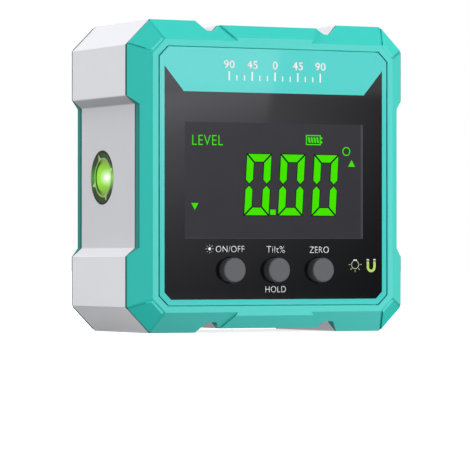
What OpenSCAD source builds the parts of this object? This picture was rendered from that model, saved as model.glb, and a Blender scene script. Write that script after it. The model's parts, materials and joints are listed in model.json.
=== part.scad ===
// Pocket digital angle gauge with a laser line out of each side.
// An extruded body ring stands between a front and a rear cover that share its outline.
// X is to the right, the front faces -Y, Z is up and Z = 0 is the face of the bottom pads.

/* [Body ring] */
// Width and height over the corner pads
body_size = 60; // [56:0.5:72]
// Length of the extruded ring between the two covers
ring_depth = 24.7; // [22:0.1:34]
// Leg of the chamfer on the four outer corners
corner_chamfer = 5; // [3.5:0.1:6.5]
// Wall left behind the recessed sides
ring_wall = 2.5; // [2:0.1:3.2]
// Width of the solid corner that takes the cover screws, across its inner face
corner_block = 15.7; // [14.5:0.1:17]

/* [Outline of the sides] */
// Length of a pad from the corner's chamfer to where it slopes down
pad_length = 9.6; // [8:0.1:10.5]
// Depth of the recess between the pads
recess_depth = 2; // [1.5:0.1:2.4]
// Length of the sloped end of a pad
recess_run = 1.7; // [1:0.1:2.2]
// Depth of the middle step of the top and the bottom below the pads
middle_drop = 0.8; // [0.4:0.1:1.2]
// Width of the floor of the notch beside the middle step
notch_floor = 1.95; // [1:0.05:2.5]
// Length of the sloped end of the middle step
middle_run = 1.15; // [0.8:0.05:1.6]

/* [Covers] */
// Depth of the front cover in front of the ring
front_depth = 4.05; // [3.8:0.05:5]
// Depth of the rear cover behind the ring
rear_depth = 3.6; // [3.3:0.05:5]
// How far the slopes run in from the outline
slope_inset = 3.93; // [3.4:0.05:4.2]
// Straight edge of a cover next to the ring
cover_land = 0.3; // [0.2:0.05:0.6]
// How far the middle slabs stand out of the slopes
slab_rise = 0.67; // [0.3:0.05:0.9]
// Bare slope between the end of a slab and the end of the middle step
slab_margin = 0.1; // [0.05:0.05:0.6]
// How much a slab widens for each millimetre towards the outline
slab_flare = 0.83; // [0.4:0.01:0.9]
// How far the corner pads stand out of the slopes
corner_rise = 0.45; // [0.2:0.05:0.7]
// Bare slope left at each end of a corner pad
corner_margin = 0.5; // [0.3:0.05:0.8]
// How far the corner pads stay back from the front of the cover
corner_setback = 0.2; // [0.1:0.05:0.4]
// Thickness of the floor under the front panel
front_web = 1.9; // [1.6:0.05:2.2]
// Thickness of the rear cover's back wall
rear_web = 1.8; // [1.5:0.05:2.2]
// Length of the lip that centres a cover in the ring
lip_depth = 1.5; // [0.8:0.1:1.8]
// Thickness of that lip
lip_wall = 1.2; // [0.8:0.1:1.4]
// Gap between a lip and the ring
lip_gap = 0.15; // [0.05:0.01:0.25]

/* [Front panel] */
// Width of the flat rim of the cover around the panel
rim_width = 1.18; // [0.9:0.02:1.4]
// Gap between the panel and the cover
panel_gap = 0.21; // [0.15:0.01:0.4]
// Thickness of the panel
panel_thick = 1; // [0.8:0.05:1.2]
// Thickness of the tape that holds the panel
tape_thick = 0.15; // [0.1:0.01:0.25]
// Bare margin between the edges of the tape and of the panel
tape_margin = 0.6; // [0.3:0.05:1]

/* [Display] */
// Distance from the side of the panel to the display glass
lcd_side = 4.18; // [3:0.02:6]
// Height of the display glass
lcd_h = 24.6; // [23:0.1:25]
// Thickness of the display glass
lcd_thick = 1.8; // [1.4:0.05:2]
// Gap between the display frame and the flanges of the buttons
display_gap = 0.9; // [0.4:0.05:1.5]
// Thickness of the backlight
backlight_thick = 2.4; // [2:0.05:2.6]
// Wall of the moulded display frame
lcd_frame_wall = 0.8; // [0.6:0.05:1]
// Clearance around the display
lcd_gap = 0.1; // [0.05:0.01:0.2]
// Thickness of the contact strip between glass and board
strip_thick = 1.8; // [1.4:0.1:2]

/* [Buttons] */
// Diameter of a button
button_d = 4.7; // [4.4:0.05:5.4]
// How far a button stands out of the panel
button_proud = 2; // [1.2:0.05:2.4]
// Gap around a button
button_gap = 0.2; // [0.15:0.05:0.6]
// Distance from one button to the next
button_pitch = 9.6; // [8.6:0.1:10.6]
// Distance from the lower edge of the panel up to the buttons
button_up = 6.73; // [6.3:0.01:8]
// Radius of the edge of a button's face
button_round = 0.3; // [0.1:0.05:0.5]
// How far the flange that keeps a button in reaches past its hole
flange_rim = 0.35; // [0.2:0.05:0.5]
// Thickness of that flange
flange_thick = 0.8; // [0.6:0.05:0.9]
// Travel of a button
button_travel = 0.5; // [0.3:0.05:0.5]

/* [Board] */
// Thickness of the main board
board_thick = 1.2; // [1:0.1:1.6]
// Gap between the board and the ring
board_gap = 0.3; // [0.2:0.05:0.5]
// Distance of the upper board screws from the ring's inner wall
post_edge = 4; // [3.6:0.1:5]
// Distance of the upper board screws from the ring's solid corner
post_corner = 2.76; // [2.5:0.02:4]
// Distance of the lower board screws below the buttons
post_below = 3.3; // [3:0.05:3.6]
// Diameter of the posts for the board screws
post_d = 3.8; // [3.4:0.1:4]
// Width of a tact switch
switch_w = 4.5; // [4:0.1:5]
// Gap between a pressed button's flange and its switch
switch_gap = 0.4; // [0.2:0.05:0.8]
// Thickness of a switch under its plunger
switch_floor = 0.5; // [0.3:0.05:0.8]
// Diameter of a switch plunger
plunger_d = 2; // [1.6:0.05:2.2]

/* [Lasers] */
// Distance from the rear end of the ring to the laser axis
laser_from_back = 9.7; // [9.4:0.1:10.8]
// Diameter of the laser bezel in the side wall
bezel_d = 10.5; // [10:0.1:11.5]
// Length of the laser bezel
bezel_length = 6; // [5:0.1:7]
// Depth of the dish around the lens, down to the lens's edge
dish_depth = 0.2; // [0.15:0.05:0.6]
// Width of the flat rim around the dish
dish_rim = 0.35; // [0.2:0.05:0.5]
// Diameter of the lens
lens_d = 7; // [6:0.1:7.4]
// Thickness of the lens at its edge
lens_edge = 1; // [0.8:0.05:1.2]
// Height of the lens's dome
lens_dome = 0.2; // [0.15:0.05:0.3]
// Width of the raised lip around the lens
lens_lip = 0.3; // [0.2:0.05:0.4]
// Height of that lip and of the ribs over the dish
lip_rise = 0.08; // [0.05:0.01:0.12]
// Wall of the bezel around the barrel
bezel_wall = 0.8; // [0.5:0.05:1.1]
// Length of the laser barrel
barrel_length = 12.5; // [10:0.1:13]
// Clearance of the laser pieces in each other
laser_fit = 0.05; // [0.03:0.01:0.1]

/* [Charging socket] */
// Distance from the middle of the body down to the socket
usb_drop = 7.5; // [6:0.1:8]
// Width of the socket's shell
usb_w = 8.94; // [8.8:0.02:9.1]
// Height of the socket's shell
usb_h = 3.26; // [3.1:0.02:3.4]
// Length of the socket's shell
usb_length = 7.3; // [6.5:0.1:8]
// Thickness of the shell's sheet
usb_sheet = 0.3; // [0.2:0.02:0.35]
// Gap between the shell and the slot in the ring
usb_gap = 0.2; // [0.1:0.02:0.3]

/* [Battery and magnets] */
// Width of the battery
battery_w = 36; // [28:0.5:38]
// Height of the battery
battery_h = 28; // [22:0.5:30]
// Thickness of the battery
battery_thick = 4.6; // [3:0.1:4.8]
// Thickness of the foam pad behind the battery
battery_pad_thick = 0.5; // [0.3:0.05:0.8]
// Diameter of a rod magnet
magnet_d = 3; // [2:0.1:3.2]
// Length of a rod magnet
magnet_length = 18; // [10:0.5:20]
// Wall between a magnet and the face of its pad
magnet_wall = 1.2; // [0.8:0.1:1.4]
// Diameter of the leads to the battery and the lasers
lead_d = 0.8; // [0.6:0.05:1]

/* [Screws] */
// Distance of the cover screws behind the inner face of the solid corners
screw_inset = 2.2; // [1.8:0.05:2.6]
// Diameter of the cover screws
screw_d = 2; // [1.8:0.1:2.2]
// Diameter of their heads
head_d = 3.8; // [3.4:0.1:4]
// Height of their heads
head_h = 1.3; // [1.1:0.05:1.4]
// Length of the cover screws below the head
screw_length = 7; // [6:0.5:9]
// Clearance of a screw in its tapped hole
thread_gap = 0.05; // [0.03:0.01:0.08]
// Clearance around a screw's shank and head
head_gap = 0.2; // [0.1:0.05:0.3]
// Diameter of the board screws
board_screw_d = 1.5; // [1.3:0.1:1.7]
// Length of the board screws below the head
board_screw_length = 4; // [3:0.1:4.4]

/* [Hidden] */

// Smoothness of round parts
$fn = 64;
// How far a cutter runs past what it cuts
past = 1;

// Half size of the body, and the height of its middle above the bottom pads
half = body_size / 2;
mid_z = half;
// Offsetting an octagon inwards shortens the leg of its chamfer by this share of the offset
leg_share = 2 - sqrt(2);
// Distance from the middle to a chamfered corner's face
corner_reach = (2 * half - corner_chamfer) / sqrt(2);

// Places along a side of the outline, from its middle
pad_end = half - corner_chamfer - pad_length;
notch_end = pad_end - recess_run - notch_floor;
middle_half = notch_end - middle_run;

// Depth of the whole gauge from the button faces to the back, and its planes along Y
total_depth = button_proud + front_depth + ring_depth + rear_depth;
y_front = button_proud - total_depth / 2;
y_ring = y_front + front_depth;
y_ring_back = y_ring + ring_depth;
y_back = y_ring_back + rear_depth;
y_panel_back = y_front + panel_thick;
y_web = y_panel_back + tape_thick;
y_web_back = y_web + front_web;
y_rear_web = y_back - rear_web;
y_laser = y_ring_back - laser_from_back;

// Octagon inside the ring, and the distance from the middle to its corner faces
inner_half = half - recess_depth - ring_wall;
inner_leg = corner_block / sqrt(2);
inner_reach = (2 * inner_half - inner_leg) / sqrt(2);

// Octagon of the front panel
panel_inset = slope_inset + rim_width + panel_gap;
panel_half = half - panel_inset;
panel_leg = corner_chamfer - panel_inset * leg_share;

// Buttons, their seats and what they press, from the cover's floor backwards to the board
button_z = mid_z - panel_half + button_up;
button_hole_d = button_d + 2 * button_gap;
flange_d = button_hole_d + 2 * flange_rim;
flange_gap = 0.1;
y_flange = y_web_back + flange_gap;
y_plunger = y_flange + flange_thick;
y_switch = y_plunger + button_travel + switch_gap;
plunger_gap = 0.3;
plunger_below = 1.1;
y_plunger_end = y_switch + plunger_below;
plunger_room = 0.1;
y_switch_floor = y_plunger_end + button_travel + plunger_room;
y_board = y_switch_floor + switch_floor;
y_board_back = y_board + board_thick;

// Display stack from the panel backwards, above the buttons
lcd_w = 2 * (panel_half - lcd_side);
frame_w = lcd_w + 2 * (lcd_gap + lcd_frame_wall);
frame_h = lcd_h + 2 * (lcd_gap + lcd_frame_wall);
lcd_z = button_z + flange_d / 2 + display_gap + frame_h / 2;
y_lcd = y_panel_back + lcd_gap;
y_lcd_back = y_lcd + lcd_thick;
y_backlight_back = y_lcd_back + backlight_thick;
strip_z = lcd_z + lcd_h / 2 - strip_thick / 2;
backlight_h = lcd_h - strip_thick - 2 * lcd_gap;

// Board screws
post_z = inner_half - post_edge;
post_x = (inner_reach - post_corner) * sqrt(2) - post_z;
board_head_d = 2.8;
board_head_h = 1;

// Lasers
side_floor = half - recess_depth;
barrel_d = bezel_d - 2 * (bezel_wall + laser_fit);
lens_ledge = 0.5;
lens_rim = side_floor - dish_depth;
lens_back = lens_rim - lens_edge;
lip_r = lens_d / 2 + laser_fit + lens_lip;
dish_r = bezel_d / 2 - dish_rim;
lens_stop = 0.7;
barrel_front = lens_back - lens_stop;
barrel_back = barrel_front - barrel_length;
barrel_bore_d = 5.8;
rib_angles = [68, 160, 249, 340];
rib_width = 1.4;
rib_root = 0.3;
diode_flange = 1.2;
diode_can_d = 4.6;
diode_can = 3.6;
diode_pin_d = 0.5;
diode_pin = 2;
diode_pin_pitch = 2;

// Charging socket behind the board
usb_z = mid_z - usb_drop;
usb_y = y_board_back + usb_h / 2;
usb_setback = 0.3;
usb_mouth = side_floor - usb_setback;
usb_back = usb_mouth - usb_length;
usb_core = 1.4;
usb_tongue_setback = 0.8;
usb_tongue_w = 6.6;
usb_tongue_thick = 0.7;

// Battery on the rear cover
y_battery_back = y_rear_web - battery_pad_thick;
battery_margin = 3;

// Routes of the leads: a laser's as [in from its pin, y from its pin], the battery's as [y from the
// middle of its edge, z above it], each before the straight run to the board
red_laser_bend = [[0, 0], [1.2, 0], [2.4, -0.4], [3.4, -1.4], [3.8, -2.8], [3.8, -4.6], [3.8, -6.4]];
black_laser_bend = [[0, 0], [0.6, 0], [1.2, -0.3], [1.6, -0.9], [1.7, -1.7], [1.7, -3.5], [1.7, -5.3]];
battery_bend = [
    [0, 0], [0, 1.4], [-0.5, 2.8], [-1.7, 4], [-3.4, 4.6], [-5.4, 4.8],
    [-7.4, 4.8], [-9.4, 4.7], [-11.4, 4.6], [-13.4, 4.6], [-15.4, 4.6]
];
battery_lead_pitch = 3;

// Magnets in the middle of each pad
magnet_place = pad_end + pad_length / 2;
magnet_reach = half - magnet_wall - magnet_d / 2;
magnet_gap = 0.05;

// Cover screws and the seats of their heads
screw_place = (inner_reach + screw_inset) / sqrt(2);
front_seat = 1.6;
rear_seat = 1.7;
cross_width = 0.55;
cross_depth = 0.7;
cross_share = 0.6;

// Chips on the back of the board as [x, z, width, height, thickness], x and z from the middle
chips = [
    [-8, 12, 7, 7, 1], [6, 12, 6, 6, 0.9], [-10, -8, 5, 4, 1.1], [3, -10, 4, 4, 1.6], [-16, 4, 3, 1.6, 0.8]
];
sensor_w = 3;
sensor_h = 1;

// Colours
teal = [0.24, 0.72, 0.68];
silver = [0.83, 0.83, 0.85];
ink = [0.10, 0.10, 0.11];
button_grey = [0.38, 0.38, 0.39];
board_green = [0.10, 0.32, 0.18];
steel = [0.70, 0.71, 0.72];
brass = [0.76, 0.62, 0.32];
laser_green = [0.45, 0.95, 0.30];

// An octagon: a square with chamfered corners
module octagon(h, leg) {
    polygon([for (a = [0:90:270], s = [-1, 1]) turned([h, s * (h - leg)], a)]);
}

// A point turned about the middle
function turned(p, a) = [p[0] * cos(a) - p[1] * sin(a), p[0] * sin(a) + p[1] * cos(a)];

// Half of one side of the outline, from the corner to its middle, as [place along it, drop below the pads]
side_ends = [
    [half - corner_chamfer, 0], [pad_end, 0], [pad_end - recess_run, recess_depth]
];
top_ends = concat(side_ends, [[notch_end, recess_depth], [middle_half, middle_drop]]);

// A whole side from its half, and that side turned to face the angle a
function both_ends(e) = concat(e, [for (i = [len(e) - 1:-1:0]) [-e[i][0], e[i][1]]]);
function side_at(e, a) = [for (p = both_ends(e)) turned([p[0], half - p[1]], a)];

// The outline that the ring and both covers share, as seen from the front
module outline() {
    polygon(concat(side_at(top_ends, 0), side_at(side_ends, 90), side_at(top_ends, 180),
        side_at(side_ends, 270)));
}

// A front view drawing given thickness from y0 back to y1, centred on the body
module plate(y0, y1) {
    translate([0, y1, mid_z]) rotate([90, 0, 0]) linear_extrude(y1 - y0) children();
}

// A round piece along Y from y0 to y1, x and z as in the row frame
module rod_y(x, z, d, y0, y1) {
    translate([x, y1, z]) rotate([90, 0, 0]) cylinder(d = d, h = y1 - y0);
}

// A box that is centred on x and z and runs from y0 to y1
module block(x, z, w, h, y0, y1) {
    translate([x - w / 2, y0, z - h / 2]) cube([w, y1 - y0, h]);
}

// What lies outside one slope: it starts at the reach r on y_edge and runs in by the inset at y_top
module slope_cutter(a, r, y_edge, y_top) {
    y_far = 2 * y_top - y_edge;
    translate([0, 0, mid_z]) rotate([0, -a, 0])
        linear_extrude(4 * half, center = true)
            polygon([
                [r, y_edge], [r + 2 * half, y_edge], [r + 2 * half, y_far], [r - 2 * slope_inset, y_far]
            ]);
}

// The four straight slopes and the four corner slopes
module all_slopes(y_edge, y_top) {
    for (a = [0:90:270]) slope_cutter(a, half, y_edge, y_top);
    for (a = [45:90:315]) slope_cutter(a, corner_reach, y_edge, y_top);
}

// Front view of the slab in the middle of the top
module slab_shape() {
    z_in = half - slope_inset - slab_rise;
    z_step = half - middle_drop;
    step = middle_half - slab_margin;
    low = step - slab_flare * (z_step - z_in);
    high = step + slab_flare * middle_drop;
    polygon([[-low, z_in], [low, z_in], [high, half], [-high, half]]);
}

// Front view of a corner pad, drawn on the corner to the right
module corner_pad_shape() {
    outer = corner_chamfer / sqrt(2) - corner_margin;
    inner = (corner_chamfer - slope_inset * leg_share) / sqrt(2) - corner_margin;
    u_in = corner_reach - slope_inset;
    polygon([[u_in, -inner], [corner_reach, -outer], [corner_reach, outer], [u_in, inner]]);
}

// A cover's sloped body from its edge at the ring, y_edge, to its face, y_top
module cover_body(y_edge, y_top) {
    side = sign(y_top - y_edge);
    y_slope = y_edge + side * cover_land;
    y0 = min(y_edge, y_top);
    y1 = max(y_edge, y_top);
    y_pad = y_top - side * corner_setback;
    difference() {
        plate(y0, y1) outline();
        all_slopes(y_slope, y_top);
    }
    for (turn = [0, 180]) difference() {
        plate(y0, y1) intersection() {
            outline();
            rotate(turn) slab_shape();
        }
        slope_cutter(90 + turn, half + slab_rise, y_slope, y_top);
    }
    for (a = [45:90:315]) difference() {
        plate(min(y_edge, y_pad), max(y_edge, y_pad)) rotate(a) corner_pad_shape();
        slope_cutter(a, corner_reach + corner_rise, y_slope, y_top);
    }
}

// The lip of a cover inside the ring, with the hollow that it surrounds left open
module lip(y0, y1) {
    outer = inner_half - lip_gap;
    inner = outer - lip_wall;
    plate(y0, y1) difference() {
        octagon(outer, inner_leg - lip_gap * leg_share);
        octagon(inner, inner_leg - (lip_gap + lip_wall) * leg_share);
    }
}

// Runs its children once at each corner screw
module at_cover_screws() {
    for (x = [-1, 1], z = [-1, 1]) translate([x * screw_place, 0, mid_z + z * screw_place]) children();
}

// Runs its children once at each board screw: two near the top corners, two between the buttons
module at_board_screws() {
    for (x = [-1, 1]) {
        translate([x * post_x, 0, mid_z + post_z]) children();
        translate([x * button_pitch / 2, 0, button_z - post_below]) children();
    }
}

// Runs its children once at each button
module at_buttons() {
    for (i = [-1:1]) translate([i * button_pitch, 0, button_z]) children();
}

// Runs its children once at each magnet, two on each side
module at_magnets() {
    for (a = [0:90:270], t = [-1, 1])
        translate([0, 0, mid_z]) rotate([0, -a, 0])
            translate([magnet_reach, 0, t * magnet_place]) children();
}

// A pan head screw with a cross recess, its head's underside at y = 0 and its shank towards +Y
module screw(d, length, hd, hh) {
    difference() {
        union() {
            rod_y(0, 0, d, 0, length);
            rod_y(0, 0, hd, -hh, 0);
        }
        for (w = [[cross_width, hd * cross_share], [hd * cross_share, cross_width]])
            block(0, 0, w[0], w[1], -hh - past, -hh + cross_depth);
    }
}

// A flat slot with round ends through a side wall, or the outline of the socket's shell
module stadium_x(w, h, x0, x1) {
    translate([x0, usb_y, usb_z]) rotate([90, 0, 90]) linear_extrude(x1 - x0) {
        square([h, w - h], center = true);
        for (s = [-1, 1]) translate([0, s * (w - h) / 2]) circle(d = h);
    }
}

// Mirrors what is drawn for the right side over to the left
module on_side(side) {
    mirror([side < 0 ? 1 : 0, 0, 0]) children();
}

// A shape turned round the laser axis: its profile is drawn as [radius, place along X]
module turned_x() {
    translate([0, y_laser, mid_z]) rotate([0, 90, 0]) rotate_extrude() children();
}

module body_ring() {
    color(silver) difference() {
        plate(y_ring, y_ring_back) difference() {
            outline();
            octagon(inner_half, inner_leg);
        }
        at_cover_screws() rod_y(0, 0, screw_d + 2 * thread_gap, y_ring - past, y_ring_back + past);
        at_magnets()
            rod_y(0, 0, magnet_d + 2 * magnet_gap, y_ring_back - magnet_length, y_ring_back + past);
        for (side = [-1, 1]) on_side(side)
            translate([inner_half - past, y_laser, mid_z]) rotate([0, 90, 0])
                cylinder(d = bezel_d + 2 * laser_fit, h = ring_wall + recess_depth + past);
        stadium_x(usb_w + 2 * usb_gap, usb_h + 2 * usb_gap, inner_half - past, half);
    }
}

module front_cover() {
    color(teal) difference() {
        union() {
            difference() {
                cover_body(y_ring, y_front);
                plate(y_web_back, y_ring + past) octagon(inner_half, inner_leg);
            }
            lip(y_web_back, y_ring + lip_depth);
            at_board_screws() rod_y(0, 0, post_d, y_web_back, y_board);
        }
        plate(y_front - past, y_web) octagon(panel_half + panel_gap, panel_leg + panel_gap * leg_share);
        block(0, lcd_z, lcd_w + 2 * lcd_gap, lcd_h + 2 * lcd_gap, y_web - past, y_web_back + past);
        at_buttons() rod_y(0, 0, button_hole_d, y_web - past, y_web_back + past);
        at_cover_screws() {
            rod_y(0, 0, screw_d + 2 * head_gap, y_web - past, y_ring + past);
            rod_y(0, 0, head_d + 2 * head_gap, y_web - past, y_web + front_seat);
        }
        at_board_screws()
            rod_y(0, 0, board_screw_d + 2 * thread_gap, y_board_back - board_screw_length, y_board + past);
    }
}

module rear_cover() {
    color(teal) difference() {
        union() {
            difference() {
                cover_body(y_ring_back, y_back);
                plate(y_ring_back - past, y_rear_web) octagon(inner_half, inner_leg);
            }
            lip(y_ring_back - lip_depth, y_rear_web);
        }
        at_cover_screws() {
            rod_y(0, 0, screw_d + 2 * head_gap, y_ring_back - past, y_back + past);
            rod_y(0, 0, head_d + 2 * head_gap, y_back - rear_seat, y_back + past);
        }
    }
}

module front_panel() {
    color(ink) difference() {
        plate(y_front, y_panel_back) octagon(panel_half, panel_leg);
        at_buttons() rod_y(0, 0, button_hole_d, y_front - past, y_panel_back + past);
    }
}

module panel_tape() {
    color("white") difference() {
        plate(y_panel_back, y_web) octagon(panel_half - tape_margin, panel_leg - tape_margin * leg_share);
        block(0, lcd_z, lcd_w + 2 * lcd_gap, lcd_h + 2 * lcd_gap, y_panel_back - past, y_web + past);
        at_buttons() rod_y(0, 0, button_hole_d, y_panel_back - past, y_web + past);
    }
}

// A button cap with a rounded face and a flange behind the cover's floor
module button(i) {
    r = button_d / 2;
    face = button_proud + y_flange - y_front;
    color(button_grey) translate([i * button_pitch, y_flange, button_z]) rotate([90, 0, 0]) {
        rotate_extrude() {
            square([r - button_round, face]);
            square([r, face - button_round]);
            translate([r - button_round, face - button_round]) intersection() {
                circle(r = button_round);
                square(button_round);
            }
        }
        translate([0, 0, -flange_thick]) cylinder(d = flange_d, h = flange_thick);
    }
}

module power_button() { button(-1); }
module tilt_button() { button(0); }
module zero_button() { button(1); }

// The actuator that a button presses into its switch
module plunger(i) {
    color("black") rod_y(i * button_pitch, button_z, plunger_d, y_plunger, y_plunger_end);
}

module power_plunger() { plunger(-1); }
module tilt_plunger() { plunger(0); }
module zero_plunger() { plunger(1); }

module tact_switches() {
    color("dimgray") at_buttons() difference() {
        block(0, 0, switch_w, switch_w, y_switch, y_board);
        rod_y(0, 0, plunger_d + 2 * plunger_gap, y_switch - past, y_switch_floor);
    }
}

module lcd_glass() {
    color([0.20, 0.19, 0.22]) block(0, lcd_z, lcd_w, lcd_h, y_lcd, y_lcd_back);
}

module lcd_backlight() {
    color("honeydew")
        block(0, lcd_z - (lcd_h - backlight_h) / 2, lcd_w, backlight_h, y_lcd_back, y_backlight_back);
}

// A tray on the board: its walls hold the glass and its floor the backlight, with a slot for the strip
module lcd_frame() {
    color("ivory") difference() {
        block(0, lcd_z, frame_w, frame_h, y_web_back + lcd_gap, y_board);
        block(0, lcd_z, lcd_w + 2 * lcd_gap, lcd_h + 2 * lcd_gap, y_web, y_backlight_back);
        block(0, strip_z, lcd_w, strip_thick + 2 * lcd_gap, y_web, y_board + past);
    }
}

module contact_strip() {
    color("pink") block(0, strip_z, lcd_w - 2 * lcd_frame_wall, strip_thick, y_lcd_back, y_board);
}

module main_board() {
    color(board_green) difference() {
        plate(y_board, y_board_back) octagon(inner_half - board_gap, inner_leg - board_gap * leg_share);
        at_board_screws()
            rod_y(0, 0, board_screw_d + 2 * head_gap, y_board - past, y_board_back + past);
    }
}

module board_chips() {
    color("black") for (c = chips)
        block(c[0], mid_z + c[1], c[2], c[3], y_board_back, y_board_back + c[4]);
}

module tilt_sensor() {
    color("darkslategray") block(0, mid_z, sensor_w, sensor_w, y_board_back, y_board_back + sensor_h);
}

module usb_shell() {
    color(steel) difference() {
        stadium_x(usb_w, usb_h, usb_back, usb_mouth);
        stadium_x(usb_w - 2 * usb_sheet, usb_h - 2 * usb_sheet, usb_back + usb_sheet, usb_mouth + past);
    }
}

// The moulded core of the socket: a block at the back and the contact tongue
module usb_tongue() {
    core_end = usb_back + usb_sheet + usb_core;
    tongue_end = usb_mouth - usb_tongue_setback;
    color("black") {
        stadium_x(usb_w - 2 * usb_sheet, usb_h - 2 * usb_sheet, usb_back + usb_sheet, core_end);
        translate([core_end, usb_y - usb_tongue_thick / 2, usb_z - usb_tongue_w / 2])
            cube([tongue_end - core_end, usb_tongue_thick, usb_tongue_w]);
    }
}

module battery() {
    color("lightsteelblue")
        block(0, mid_z, battery_w, battery_h, y_battery_back - battery_thick, y_battery_back);
}

module battery_pad() {
    color("gray") block(0, mid_z, battery_w - 2 * battery_margin, battery_h - 2 * battery_margin,
        y_battery_back, y_rear_web);
}

// A turned sleeve: a dished face with four ribs and a lip, a seat for the lens, a socket for the barrel
module laser_bezel(side) {
    r = bezel_d / 2;
    socket = barrel_d / 2 + laser_fit;
    lens = lens_d / 2 + laser_fit;
    bezel_back = side_floor - bezel_length;
    color(ink) on_side(side) {
        turned_x() polygon([
            [r, bezel_back], [r, side_floor], [dish_r, side_floor], [lip_r, lens_rim],
            [lip_r, lens_rim + lip_rise], [lens, lens_rim + lip_rise], [lens, lens_back],
            [lens - lens_ledge, lens_back], [lens - lens_ledge, barrel_front],
            [socket, barrel_front], [socket, bezel_back]
        ]);
        for (a = rib_angles) laser_rib(a);
    }
}

// A tapered rib on the slope of the dish, as high as the lip at its inner end and nothing at the rim
module laser_rib(a) {
    r_in = lip_r - lens_lip / 2;
    r_out = dish_r - laser_fit;
    intersection() {
        turned_x() polygon([
            [dish_r, side_floor], [lip_r, lens_rim + lip_rise], [r_in, lens_rim],
            [r_in, lens_rim - rib_root], [dish_r, side_floor - rib_root]
        ]);
        translate([lens_rim - rib_root, y_laser, mid_z]) rotate([a, 0, 0]) rotate([90, 0, 90])
            linear_extrude(rib_root + dish_depth)
                polygon([[r_in, -rib_width / 2], [r_out, 0], [r_in, rib_width / 2]]);
    }
}

module left_laser_bezel() { laser_bezel(-1); }
module right_laser_bezel() { laser_bezel(1); }

// A lens with a flat edge and a domed face
module laser_lens(side) {
    dome_r = (pow(lens_d / 2, 2) + pow(lens_dome, 2)) / (2 * lens_dome);
    color(laser_green) on_side(side) turned_x() {
        translate([0, lens_back]) square([lens_d / 2, lens_edge]);
        intersection() {
            translate([0, lens_rim + lens_dome - dome_r]) circle(r = dome_r, $fn = 720);
            translate([0, lens_rim - laser_fit]) square([lens_d / 2, lens_dome + laser_fit]);
        }
    }
}

module left_laser_lens() { laser_lens(-1); }
module right_laser_lens() { laser_lens(1); }

module laser_barrel(side) {
    color(brass) on_side(side) turned_x()
        translate([barrel_bore_d / 2, barrel_back]) square([(barrel_d - barrel_bore_d) / 2, barrel_length]);
}

module left_laser_barrel() { laser_barrel(-1); }
module right_laser_barrel() { laser_barrel(1); }

// A can with a flange and two pins, pressed into the back of the barrel
module laser_diode(side) {
    color(steel) on_side(side) {
        turned_x() translate([0, barrel_back]) {
            square([barrel_bore_d / 2 - laser_fit, diode_flange]);
            square([diode_can_d / 2, diode_can]);
        }
        for (s = [-1, 1])
            translate([barrel_back - diode_pin, y_laser + s * diode_pin_pitch / 2, mid_z])
                rotate([0, 90, 0]) cylinder(d = diode_pin_d, h = diode_pin + diode_flange);
    }
}

module left_laser_diode() { laser_diode(-1); }
module right_laser_diode() { laser_diode(1); }

// The way along a route at one of its points
function heading(route, i) = let (way = route[min(i + 1, len(route) - 1)] - route[max(i - 1, 0)])
    way / norm(way);

// Eight points around a point of a route that lies in a plane with the normal n
function lead_ring(p, way, n) =
    [for (a = [0:45:315]) p + lead_d / 2 * (cos(a) * n + sin(a) * cross(way, n))];

// A lead swept along a route that lies in a plane with the normal n
module lead(route, n) {
    last = len(route) - 1;
    walls = [for (i = [0:last - 1], k = [0:7]) let (j = (k + 1) % 8)
        [8 * i + k, 8 * i + 8 + k, 8 * i + 8 + j, 8 * i + j]];
    polyhedron(
        [for (i = [0:last]) each lead_ring(route[i], heading(route, i), n)],
        concat([[for (k = [0:7]) k]], walls, [[for (k = [7:-1:0]) 8 * last + k]])
    );
}

// A lead from a laser's pin on the side s of its axis to the board
module laser_lead(side, s, bend) {
    y_pin = y_laser + s * diode_pin_pitch / 2;
    x_pin = barrel_back - diode_pin;
    bent = [for (p = bend) [x_pin - p[0], y_pin + p[1], mid_z]];
    on_side(side) lead(concat(bent, [[bent[len(bent) - 1][0], y_board_back, mid_z]]), [0, 0, 1]);
}

module left_laser_red_lead() { color("firebrick") laser_lead(-1, 1, red_laser_bend); }
module left_laser_black_lead() { color("black") laser_lead(-1, -1, black_laser_bend); }
module right_laser_red_lead() { color("firebrick") laser_lead(1, 1, red_laser_bend); }
module right_laser_black_lead() { color("black") laser_lead(1, -1, black_laser_bend); }

// A lead from the battery's upper edge to the board, on the side s of the middle
module battery_lead(s) {
    x = s * battery_lead_pitch / 2;
    y_edge = y_battery_back - battery_thick / 2;
    z_edge = mid_z + battery_h / 2;
    bent = [for (p = battery_bend) [x, y_edge + p[0], z_edge + p[1]]];
    lead(concat(bent, [[x, y_board_back, bent[len(bent) - 1][2]]]), [1, 0, 0]);
}

module battery_red_lead() { color("firebrick") battery_lead(1); }
module battery_black_lead() { color("black") battery_lead(-1); }

module magnets() {
    color("dimgray") at_magnets() rod_y(0, 0, magnet_d, y_ring_back - magnet_length, y_ring_back);
}

module front_screws() {
    color(steel) at_cover_screws() translate([0, y_web + front_seat, 0])
        screw(screw_d, screw_length, head_d, head_h);
}

module rear_screws() {
    color(steel) at_cover_screws() translate([0, y_back - rear_seat, 0]) rotate([0, 0, 180])
        screw(screw_d, screw_length, head_d, head_h);
}

module board_screws() {
    color(steel) at_board_screws() translate([0, y_board_back, 0]) rotate([0, 0, 180])
        screw(board_screw_d, board_screw_length, board_head_d, board_head_h);
}

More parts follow.
